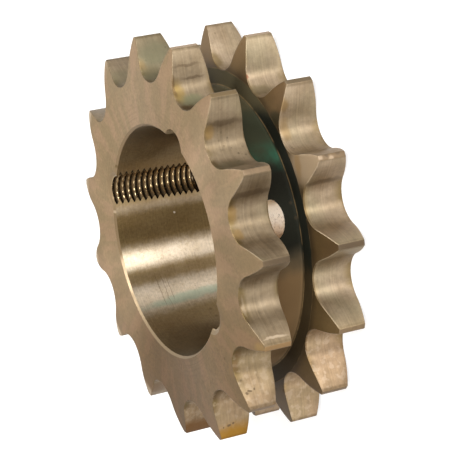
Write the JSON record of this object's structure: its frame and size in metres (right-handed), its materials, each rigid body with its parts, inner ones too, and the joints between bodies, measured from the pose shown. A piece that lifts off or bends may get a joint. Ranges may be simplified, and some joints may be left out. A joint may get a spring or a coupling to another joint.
{
  "type": "chain sprocket",
  "caption": "Duplex roller chain sprocket: paired toothed rings on a grooved wall, with a tapered bore and half-round screw holes for a bush",
  "frame": {"origin": "centre of the rear face, which is the end with the small end of the tapered bore; the sprocket stands on that face", "axes": "+Z is the sprocket's axis and points out of the front face, +Y runs through the tip of one tooth of each row, +X completes the right-handed frame"},
  "size_m": [0.0996, 0.0991, 0.0298],
  "materials": {
    "steel": "bare machined steel with a warm oiled film, satin turned faces and brighter hobbed flanks"
  },
  "bodies": {
    "root": {"sprocket": "steel"}
  },
  "joints": []
}
